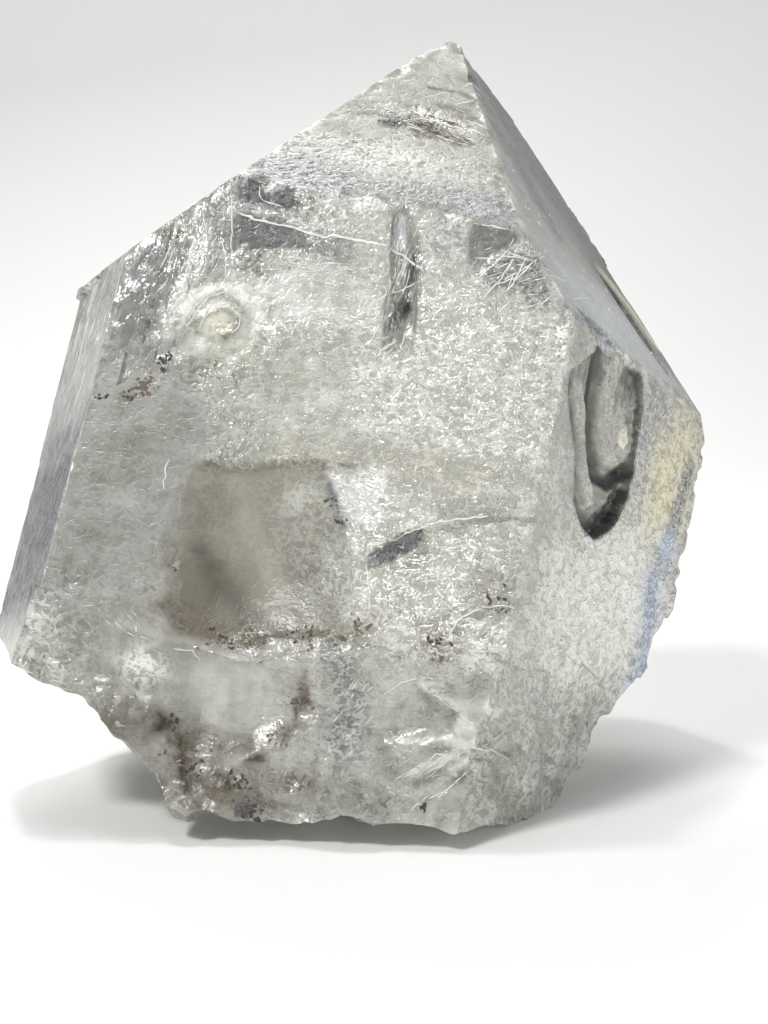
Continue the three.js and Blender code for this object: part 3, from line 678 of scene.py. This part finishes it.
# The left face has bright streaks above, a painted highlight of the sun on its streaked etching, and is
# blue-grey below, darkened there by painted shade.
# Painted highlight of the sun along the streaks.
zone(LEFT, oval((-20, 8), (14, 14)), (232, 234, 230), haze=0.75, fleck=1.0, streak=1.0, foil=0.6)
# Painted shade over the lower half.
zone(LEFT, oval((-14, -14), (24, 17)), (62, 65, 71), haze=1.6, fleck=0.1, streak=0.7, etch=0.5, foil=0.1,
     soft=0.5)
zone(LEFT, oval((-12, -24), (14, 4.5)), (206, 206, 199), haze=0.9, fleck=0.7, etch=0.6, foil=0.1,
     soft=0.6)

# Edges are bruised white, partly worn and partly a painted highlight along them, and quartz of every shade
# is mottled with olive grey.
EDGE_LEVELS = {"haze": 0.85, "fleck": 1.0, "foil": 0.3}
OLIVE = (-0.06, -0.06, -0.2)
mottle *= amounts["veil"]
shade *= 1 + 0.24 * mottle[:, None]
shade *= 1 + step(-mottle, 0.0, 0.8)[:, None] * np.array(OLIVE)
amounts["haze"] += 0.3 * mottle
# The white along the edges is partly worn bruising and partly a painted highlight.
for name, value in EDGE_LEVELS.items():
    amounts[name] += on_edge * (value - amounts[name])
shade += (on_edge * 0.5)[:, None] * (np.array(tone(232, 232, 224)) - shade)

# The finish reads the colour and the levels from the mesh, three numbers at a time.
packs = {
    "shade": shade,
    "levels": np.stack([amounts["haze"], amounts["fleck"], amounts["stain"]], 1),
    "finish": np.stack([amounts["streak"], amounts["etch"], amounts["foil"]], 1),
}
for name, values in packs.items():
    made = crystal.data.attributes.new(name, "FLOAT_VECTOR", "CORNER")
    made.data.foreach_set("vector", values.astype(np.float32).ravel())

# ---------------------------------------------------------------- crystal, finish
# The quartz is clear in itself. Veils cloud it, etching breaks its gloss into glints, and iron and
# bitumen stain its cracks. Its surface is a mix of clear and milky quartz.


class Wire:
    """A socket among a material's nodes. Sums and products of wires and numbers add Math nodes."""

    def __init__(self, tree, socket=None):
        self.tree = tree
        self.socket = socket

    def node(self, kind, settings=None, sockets=None, output=0):
        """Adds a node: its settings are set first, and then its sockets get values or links."""
        made = self.tree.nodes.new("ShaderNode" + kind)
        for name, value in (settings or {}).items():
            setattr(made, name, value)
        for name, value in (sockets or {}).items():
            if isinstance(value, Wire):
                self.tree.links.new(value.socket, made.inputs[name])
            else:
                made.inputs[name].default_value = value
        return Wire(self.tree, made.outputs[output] if made.outputs else None)

    def math(self, operation, *values):
        return self.node("Math", {"operation": operation}, dict(enumerate(values)))

    def __add__(self, other):
        return self.math("ADD", self, other)

    def __sub__(self, other):
        return self.math("SUBTRACT", self, other)

    def __rsub__(self, other):
        return self.math("SUBTRACT", other, self)

    def __mul__(self, other):
        return self.math("MULTIPLY", self, other)

    def __abs__(self):
        return self.math("ABSOLUTE", self)

    __radd__ = __add__
    __rmul__ = __mul__


def new_material(name):
    """A material with no nodes yet, and a wire to start them from."""
    made = bpy.data.materials.new(name)
    made.use_nodes = True
    made.node_tree.nodes.clear()
    return made, Wire(made.node_tree)


def own_place(wires):
    """Object coordinates turned into the crystal's own axes, in millimetres."""
    sockets = {
        "Vector": wires.node("TexCoord", output="Object"),
        "Location": CENTRE,
        "Rotation": lean.to_euler(),
        "Scale": (MM, MM, MM),
    }
    return wires.node("Mapping", {"vector_type": "TEXTURE"}, sockets)


def spread(value, low, high, start=0.0, end=1.0):
    """Brings low..high smoothly to start..end."""
    sockets = {"Value": value, "From Min": low, "From Max": high, "To Min": start, "To Max": end}
    return value.node("MapRange", {"interpolation_type": "SMOOTHSTEP"}, sockets)


def cloud(place, size, detail=3.0, roughness=0.5, distortion=0.0):
    """Noise of about 0 to 1 with lumps of a size in millimetres along the three axes."""
    squeezed = place.node("VectorMath", {"operation": "DIVIDE"}, {0: place, 1: size})
    sockets = {
        "Vector": squeezed,
        "Scale": 1.0,
        "Detail": detail,
        "Roughness": roughness,
        "Distortion": distortion,
    }
    return place.node("TexNoise", {}, sockets)


def paint(red, green, blue):
    """A shader's colour from display values of 0 to 255."""
    return (*tone(red, green, blue), 1)


def mixed(factor, first, second):
    """The first colour where the factor is 0, and the second where it is 1."""
    # A Mix node's colour sockets share their names with others, so they go by number.
    return factor.node("Mix", {"data_type": "RGBA"}, {0: factor, 6: first, 7: second}, 2)


def three(wires, name):
    """The three numbers that the mesh carries under a name."""
    vector = wires.node("Attribute", {"attribute_name": name}, output="Vector")
    return [wires.node("SeparateXYZ", {}, {0: vector}, output) for output in range(3)]


quartz, wires = new_material("cloudy_quartz")
place = own_place(wires)
haze, fleck, stain = three(wires, "levels")
streak, etch, foil = three(wires, "finish")
base = wires.node("Attribute", {"attribute_name": "shade"}, output="Vector")

# The colours of glints and the gaps between them, of stains, and of clear quartz at its skin and inside.
BRIGHT = paint(252, 252, 246)
GAP = paint(128, 128, 114)
BITUMEN_STAIN = paint(40, 36, 32)
IRON_STAIN = paint(104, 90, 74)
CLEAR = paint(250, 250, 247)
DEEP = paint(200, 200, 192)
QUARTZ_IOR = 1.544

# Etching is a pattern of fine lumps, or of long ones where it is streaked. The places of its middle
# height form a net of thin ridges, which gleam.
fine = cloud(place, (1.0, 1.0, 0.75), detail=3, roughness=0.62, distortion=0.4)
long = cloud(place, (0.55, 0.55, 2.6), detail=2, roughness=0.6, distortion=0.3)
pattern = fine + (long - fine) * streak
speck = cloud(place, (0.34, 0.34, 0.42), detail=2, roughness=0.6, distortion=0.2)
crease = 1 - 5.5 * abs(pattern - 0.52)
ridge = spread(crease, 0.25, 0.95)
bright = ridge * fleck
gap = spread(pattern, 0.66, 0.36) * fleck
stained = spread(stain + (fine - 0.5) * 1.7, 0.5, 0.62)

colour = mixed(gap * 0.18, base, GAP)
colour = mixed(spread(speck, 0.56, 0.7) * fleck * 0.3, colour, BRIGHT)
colour = mixed(bright * (0.3 + spread(speck, 0.4, 0.56) * 0.3), colour, BRIGHT)
colour = mixed(stained, colour, mixed(spread(fine, 0.52, 0.66), BITUMEN_STAIN, IRON_STAIN))
milkiness = haze * 0.62 + bright * 0.38 + stained
relief = pattern * (etch * 0.8 + 0.03) + ridge * (etch * 0.42) + speck * (etch * 0.45)
bump = wires.node("Bump", {}, {"Strength": 0.9, "Distance": 0.26 * MM, "Height": relief})

# Etched places glint from small glossy facets, and calm ones are satin.
clear = wires.node(
    "BsdfPrincipled",
    {},
    {
        "Base Color": CLEAR,
        "Roughness": spread(etch, 0.05, 0.5, 0.24, 0.1),
        "IOR": QUARTZ_IOR,
        "Transmission Weight": 1.0,
        "Normal": bump,
    },
)
milky = wires.node(
    "BsdfPrincipled",
    {},
    {
        "Base Color": colour,
        "Metallic": foil * (0.6 + bright),
        "Roughness": spread(etch, 0.05, 0.5, 0.36, 0.15),
        "IOR": QUARTZ_IOR,
        "Normal": bump,
    },
)
surface = wires.node("MixShader", {}, {0: spread(milkiness, 0.0, 1.0, 0.0, 0.96), 1: clear, 2: milky})
inside = wires.node("VolumeAbsorption", {}, {"Color": DEEP, "Density": 18.0})
wires.node("OutputMaterial", {}, {"Surface": surface, "Volume": inside})

crystal.data.materials.clear()
crystal.data.materials.append(quartz)
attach(crystal, "root")
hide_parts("crystal")

# ---------------------------------------------------------------- healed cracks
# Cracks through the quartz have grown together again and stand out white. Each is a thin, uneven
# thread of new quartz, sunk for half its thickness into the skin.

rng = random.Random(11)
PROBE_HEIGHT = 9
PROBE_LENGTH = 30
SUNK = 0.02
THREAD_STEP = 0.45


def under_skin(face, across, up):
    """The place just under the crystal's skin at a face's across and up, or none."""
    normal, level, rise = face_axes(face)
    start = normal * (REACH[face] + PROBE_HEIGHT) + level * across + rise * up
    outward = lean @ normal
    hit, place, _, _ = crystal.ray_cast(CENTRE + lean @ start * MM, -outward, distance=PROBE_LENGTH * MM)
    return place - outward * SUNK * MM if hit else None


def threads(name, paths, radius, material, wander=0.06):
    """Lays uneven threads along paths, each of a face, its points and a share of the radius."""
    curve = bpy.data.curves.new(name, "CURVE")
    curve.dimensions = "3D"
    curve.bevel_depth = radius * MM
    curve.bevel_resolution = 0
    curve.use_fill_caps = True
    for face, points, share in paths:
        route = []
        for (ax, ay), (bx, by) in zip(points, points[1:]):
            steps = max(2, round(math.hypot(bx - ax, by - ay) / THREAD_STEP))
            route += [(ax + (bx - ax) * i / steps, ay + (by - ay) * i / steps) for i in range(steps)]
        route.append(points[-1])
        spots = []
        for index, (x, y) in enumerate(route):
            loose = wander if 0 < index < len(route) - 1 else 0
            spots.append(under_skin(face, x + rng.gauss(0, loose), y + rng.gauss(0, loose)))
        spots = [spot for spot in spots if spot is not None]
        if len(spots) < 3:
            continue
        spline = curve.splines.new("POLY")
        spline.points.add(len(spots) - 1)
        for index, (point, spot) in enumerate(zip(spline.points, spots)):
            point.co = (*spot, 1)
            # A thread thins out towards its ends.
            taper = min(1, 0.25 + min(index, len(spots) - 1 - index) * 0.5)
            point.radius = share * taper * rng.uniform(0.6, 1.25)
    made = bpy.data.objects.new(name, curve)
    bpy.context.scene.collection.objects.link(made)
    bpy.ops.object.select_all(action="DESELECT")
    made.select_set(True)
    bpy.context.view_layer.objects.active = made
    bpy.ops.object.convert(target="MESH")
    made.data.materials.clear()
    made.data.materials.append(material)
    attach(made, "root")


white_quartz, wires = new_material("white_quartz")
grainy = cloud(own_place(wires), (0.5, 0.5, 0.5), detail=2)
milk = mixed(grainy, paint(206, 206, 198), paint(250, 250, 246))
thread = wires.node("BsdfPrincipled", {}, {"Base Color": milk, "Roughness": 0.35, "IOR": QUARTZ_IOR})
wires.node("OutputMaterial", {}, {"Surface": thread})

MAIN_CRACK = [
    (-16.5, 21.3), (-14.4, 20.9), (-11.6, 20.9), (-9.5, 20.6), (-7.9, 20.5), (-7.5, 20.9), (-6.0, 20.8),
    (-2.5, 20.8), (-1.0, 20.4), (1.4, 19.0),
]
cracks = [(FRONT, MAIN_CRACK, 1.0)]
for points in (
    [(-15.2, 24.3), (-14.9, 23.2), (-14.4, 22.8), (-12.5, 22.6)],
    [(1.1, 18.3), (-1.7, 16.2), (-3.3, 14.3)],
    [(-7.5, 12.7), (-5.1, 12.7)],
    [(0.8, 13.6), (0.9, 11.6), (0.1, 10.3)],
    [(-1.0, 10.8), (0.6, 12.7)],
    [(-12.9, -18.4), (-11.7, -18.4), (-11.1, -18.1), (-10.4, -19.1)],
    [(-17.0, -2.0), (-17.2, -3.4), (-16.8, -5.2)],
    [(2.1, -7.6), (2.9, -9.9), (3.3, -11.8)],
    [(4.6, 24.4), (8.4, 24.4)],
    [(7.5, 21.8), (10.8, 22.0)],
    [(6.3, 19.3), (7.8, 21.7), (8.5, 22.1)],
    [(8.9, 18.6), (11.0, 22.3)],
    [(-17.4, 22.7), (-16.7, 19.9), (-16.0, 16.7)],
    [(-17.5, 18.4), (-16.6, 17.4), (-16.2, 15.3)],
    [(6.0, -18.4), (7.3, -17.0), (9.4, -16.1)],
    [(9.3, -17.0), (10.6, -17.6), (12.3, -18.3), (14.4, -19.3)],
    [(12.8, -20.4), (14.1, -21.0), (15.2, -21.0), (16.4, -21.0), (17.6, -21.3)],
    [(10.0, -24.3), (11.5, -22.3), (13.2, -21.4), (14.1, -21.1)],
    [(12.7, -23.1), (13.5, -21.9), (14.2, -21.0)],
    [(15.3, -20.7), (16.4, -19.4), (17.6, -18.0)],
    [(14.4, -13.9), (15.2, -14.9), (15.2, -15.8)],
    [(10.3, -12.8), (11.1, -10.6), (13.0, -9.2), (14.6, -8.7), (16.8, -8.9), (18.3, -9.7)],
    [(2.3, -6.1), (4.1, -5.0), (5.7, -4.0), (7.6, -2.8), (11.7, -1.4)],
):
    cracks.append((FRONT, points, 0.6))
threads("healed_cracks", cracks, 0.13, white_quartz)

# The plume under the tip is a fan of open cracks. Every other one is pale and joins the scratches, and
# the rest are dark and come with the bitumen.
PLUME_CRACKS = 26
cracks_in_plume = []
for _ in range(PLUME_CRACKS):
    x, y = rng.uniform(-5.6, 1.0), rng.uniform(32.0, 35.5)
    far = rng.uniform(0.8, 2.8)
    points = [(x, y), (x + far * 0.5, y - far * 0.12), (x + far, y - far * 0.36)]
    cracks_in_plume.append((FRONT_TIP, points, rng.uniform(0.5, 1.3)))

# ---------------------------------------------------------------- etched scratches
# Fields of hair-fine white lines lie where the skin is bruised or etched along small cracks. They are
# threads of the same white quartz, and the hillock's arcs carry some too.

# Each field has its face, middle, spread, direction with its spread, lengths and count.
FIELDS = (
    (FRONT, (9.6, 20.2), (3.6, 2.8), 35, 50, (1.0, 3.4), 40),
    (FRONT, (-1.0, 17.5), (1.3, 5.0), 85, 14, (1.0, 3.5), 18),
    (FRONT, (-5, 12.8), (5.0, 1.6), 4, 14, (0.8, 2.4), 14),
    (FRONT, (-9, 17.6), (5.0, 1.6), 3, 10, (1.0, 3.0), 16),
    (FRONT, (-22.5, 16), (4.5, 5.5), 78, 16, (0.8, 3.0), 30),
    (FRONT, (-19.4, 15), (0.9, 5.0), 84, 20, (0.6, 1.8), 40),
    (FRONT, (9, -8), (7.5, 4.5), 20, 80, (0.4, 1.0), 30),
    (FRONT, (10.0, -23.2), (2.6, 2.6), 46, 8, (1.6, 3.6), 16),
    (FRONT, (3.6, -19.5), (1.6, 3.4), 62, 14, (0.6, 1.6), 16),
    (FRONT, (-17, -17.5), (1.6, 1.4), -40, 40, (0.5, 1.6), 12),
    (FRONT, (-23.6, -21.5), (1.6, 2.4), -40, 50, (0.4, 1.2), 24),
    (FRONT_TIP, (-2, 22), (11.0, 3.5), 50, 60, (0.5, 1.5), 24),
    (FRONT_TIP, (1.5, 31.0), (3.0, 1.0), -14, 12, (0.6, 1.8), 14),
    (FRONT_TIP, (0, 42), (3.0, 5.0), 48, 12, (1.5, 4.0), 7),
    (LEFT, (-19, 9), (6.0, 8.0), 82, 10, (1.0, 4.0), 40),
    (RIGHT, (20, -5), (7.0, 5.5), 15, 60, (0.6, 2.0), 30),
    (RIGHT, (29, 8), (3.5, 6.0), 60, 30, (0.8, 2.4), 24),
    (RIGHT_TIP, (12, 18), (7.0, 8.0), 78, 30, (0.5, 1.6), 22),
)
scratches = cracks_in_plume[::2]
for face, middle, around, heading, swing, lengths, number in FIELDS:
    for _ in range(number):
        x, y = rng.gauss(middle[0], around[0] * 0.5), rng.gauss(middle[1], around[1] * 0.5)
        angle = math.radians(heading + rng.uniform(-swing, swing))
        half = rng.uniform(*lengths) / 2
        run, rise = half * math.cos(angle), half * math.sin(angle)
        bend = rng.uniform(-0.08, 0.08)
        points = [(x - run, y - rise), (x + rise * bend, y - run * bend), (x + run, y + rise)]
        scratches.append((face, points, rng.uniform(0.5, 1.2)))
for arc in ARCS:
    scratches.append((FRONT, arc, 1.0))
    scratches.append((FRONT, [(x - 0.3, y + 0.35) for x, y in arc[1:5]], 0.6))
threads("etched_scratches", scratches, 0.065, white_quartz, wander=0.03)

# ---------------------------------------------------------------- bitumen and clay
# Black bitumen and brown clay sit in the pits and cracks of the crystal, where they were trapped or
# washed in. They are small, flat crusts, half sunk into the skin.

CRUMB_SIZES = (0.05, 0.19)


def crusts(name, spots, material):
    """Scatters small, flat, uneven crumbs round places of face, across, up, spread and count."""
    bpy.ops.object.select_all(action="DESELECT")
    bpy.ops.mesh.primitive_ico_sphere_add(subdivisions=2, radius=1, location=(0, 0, 0))
    made = bpy.context.object
    made.name = name
    ball = [vertex.co.copy() for vertex in made.data.vertices]
    skins = [tuple(face.vertices) for face in made.data.polygons]
    places, faces = [], []
    for face, x, y, wide, number in spots:
        turn = (lean @ face_axes(face)[0]).to_track_quat("Z", "Y").to_matrix()
        for _ in range(number):
            spot = under_skin(face, x + rng.gauss(0, wide), y + rng.gauss(0, wide * 0.8))
            if spot is None:
                continue
            size = rng.uniform(*CRUMB_SIZES) * MM
            spun = turn @ Matrix.Rotation(rng.uniform(0, 6.28), 3, "Z")
            offset = Vector((rng.uniform(0, 90), 0, 0))
            faces += [tuple(len(places) + index for index in skin_face) for skin_face in skins]
            for point in ball:
                rough = size * (1 + 0.6 * noise.noise(point * 1.6 + offset))
                places.append(spot + spun @ Vector((point.x * 1.4, point.y * 0.8, point.z * 0.4)) * rough)
    made.data.clear_geometry()
    made.data.from_pydata(places, [], faces)
    made.data.name = name
    made.data.materials.clear()
    made.data.materials.append(material)
    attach(made, "root")


bitumen, wires = new_material("black_bitumen")
crumb = cloud(own_place(wires), (0.3, 0.3, 0.3), detail=3)
dark = mixed(crumb, paint(22, 20, 18), paint(74, 66, 56))
rugged = wires.node("Bump", {}, {"Strength": 0.8, "Distance": 0.08 * MM, "Height": crumb})
tar = wires.node("BsdfPrincipled", {}, {"Base Color": dark, "Roughness": 0.4, "Normal": rugged})
wires.node("OutputMaterial", {}, {"Surface": tar})
crusts("bitumen_crusts", (
    (FRONT, -19.8, 6.6, 0.28, 22),
    (FRONT, -19.6, 5.7, 0.2, 9),
    (FRONT, -22.1, 2.6, 0.3, 12),
    (FRONT, -24.4, 2.0, 0.35, 7),
    (FRONT, -4.6, -28.4, 0.7, 30),
    (FRONT, -2.9, -30.2, 0.7, 34),
    (FRONT, -9.2, -27.9, 0.5, 16),
    (FRONT, -11.9, -24.6, 0.4, 14),
    (FRONT, -9.2, -16.7, 0.6, 16),
    (FRONT, -2.3, -15.0, 0.7, 14),
    (FRONT, 9.6, -13.1, 0.55, 18),
    (FRONT, 14.2, -8.8, 0.7, 14),
    (FRONT, 11.3, -26.8, 0.25, 10),
    (FRONT, -1.8, -3.0, 0.25, 8),
    (FRONT, -0.8, -4.8, 0.25, 8),
    (FRONT_TIP, -6.4, 32.4, 0.4, 20),
    (FRONT_TIP, -3.2, 33.2, 0.6, 12),
), bitumen)

threads("plume_cracks", cracks_in_plume[1::2], 0.1, bitumen)

clay, wires = new_material("brown_clay")
crumb = cloud(own_place(wires), (0.4, 0.4, 0.4), detail=3)
earth = mixed(crumb, paint(74, 64, 52), paint(128, 114, 94))
rugged = wires.node("Bump", {}, {"Strength": 0.7, "Distance": 0.1 * MM, "Height": crumb})
mud = wires.node("BsdfPrincipled", {}, {"Base Color": earth, "Roughness": 0.8, "Normal": rugged})
wires.node("OutputMaterial", {}, {"Surface": mud})
crusts("clay_crusts", (
    (FRONT, -20.6, 3.9, 0.5, 30),
    (FRONT, -21.4, 3.0, 0.4, 12),
    (FRONT, -10.4, -26.6, 0.9, 36),
    (FRONT, -0.6, -20.2, 0.5, 24),
    (FRONT, -2.3, -24.0, 0.6, 16),
    (FRONT, -6.5, -15.8, 0.9, 26),
    (FRONT, -1.5, -15.0, 1.0, 26),
    (FRONT, 3.0, -13.0, 0.5, 20),
    (FRONT, 10.3, -14.4, 0.4, 16),
    (FRONT, 0.3, -27.2, 0.6, 12),
), clay)

# ---------------------------------------------------------------- floor and light
# The crystal stands on a plain pale sweep, a floor that curves up into a wall behind it. The light is
# plain and soft, from round lamps and a pale sky. All lengths here are in metres.

FLOOR_HALF = 0.9
FLOOR_FRONT = -1.2
SWEEP_START = 0.35
SWEEP_RADIUS = 0.35
SWEEP_STEPS = 12
WALL_TOP = 1.2

bpy.ops.object.select_all(action="DESELECT")
profile = [(FLOOR_FRONT, 0.0), (SWEEP_START, 0.0)]
for turn in range(1, SWEEP_STEPS + 1):
    angle = math.radians(90 * turn / SWEEP_STEPS)
    profile.append((SWEEP_START + SWEEP_RADIUS * math.sin(angle), SWEEP_RADIUS * (1 - math.cos(angle))))
profile.append((SWEEP_START + SWEEP_RADIUS, WALL_TOP))
floor_mesh = bpy.data.meshes.new("floor")
corners = [(x, y, z) for y, z in profile for x in (-FLOOR_HALF, FLOOR_HALF)]
strips = [(2 * i, 2 * i + 1, 2 * i + 3, 2 * i + 2) for i in range(len(profile) - 1)]
floor_mesh.from_pydata(corners, [], strips)
floor_mesh.shade_smooth()
floor = bpy.data.objects.new("floor", floor_mesh)
bpy.context.scene.collection.objects.link(floor)
pale, wires = new_material("pale_floor")
paper = wires.node("BsdfPrincipled", {}, {"Base Color": paint(236, 236, 234), "Roughness": 0.9})
wires.node("OutputMaterial", {}, {"Surface": paper})
floor.data.materials.append(pale)


def soft_light(name, place, aim, size, power):
    """Adds a round lamp at a place, turned to its aim."""
    made = bpy.data.objects.new(name, bpy.data.lights.new(name, "AREA"))
    bpy.context.scene.collection.objects.link(made)
    made.data.shape = "DISK"
    made.data.size = size
    made.data.energy = power
    made.location = place
    made.rotation_euler = (Vector(aim) - Vector(place)).to_track_quat("-Z", "Y").to_euler()


AIM = (0, 0, 0.037)
soft_light("key_light", (-0.28, -0.3, 0.5), AIM, 0.12, 2.35)
soft_light("back_light", (-0.1, 0.4, 0.45), AIM, 0.3, 1.2)
soft_light("sun_glint", (-0.1, 0.1, 0.7), AIM, 0.06, 0.9)
soft_light("right_fill", (0.38, -0.16, 0.16), AIM, 0.2, 0.32)
soft_light("low_fill", (0.05, -0.5, 0.06), (0, 0, 0.02), 0.25, 0.35)
soft_light("wall_light", (0, 0.1, 1.1), (0, 0.7, 0.3), 0.5, 3.0)

PALE_SKY = (0.8, 0.82, 0.85, 1)
SKY_STRENGTH = 0.3
world = bpy.data.worlds.new("studio")
bpy.context.scene.world = world
world.use_nodes = True
backdrop = world.node_tree.nodes["Background"]
backdrop.inputs["Color"].default_value = PALE_SKY
backdrop.inputs["Strength"].default_value = SKY_STRENGTH
bpy.context.scene.view_settings.view_transform = "Standard"
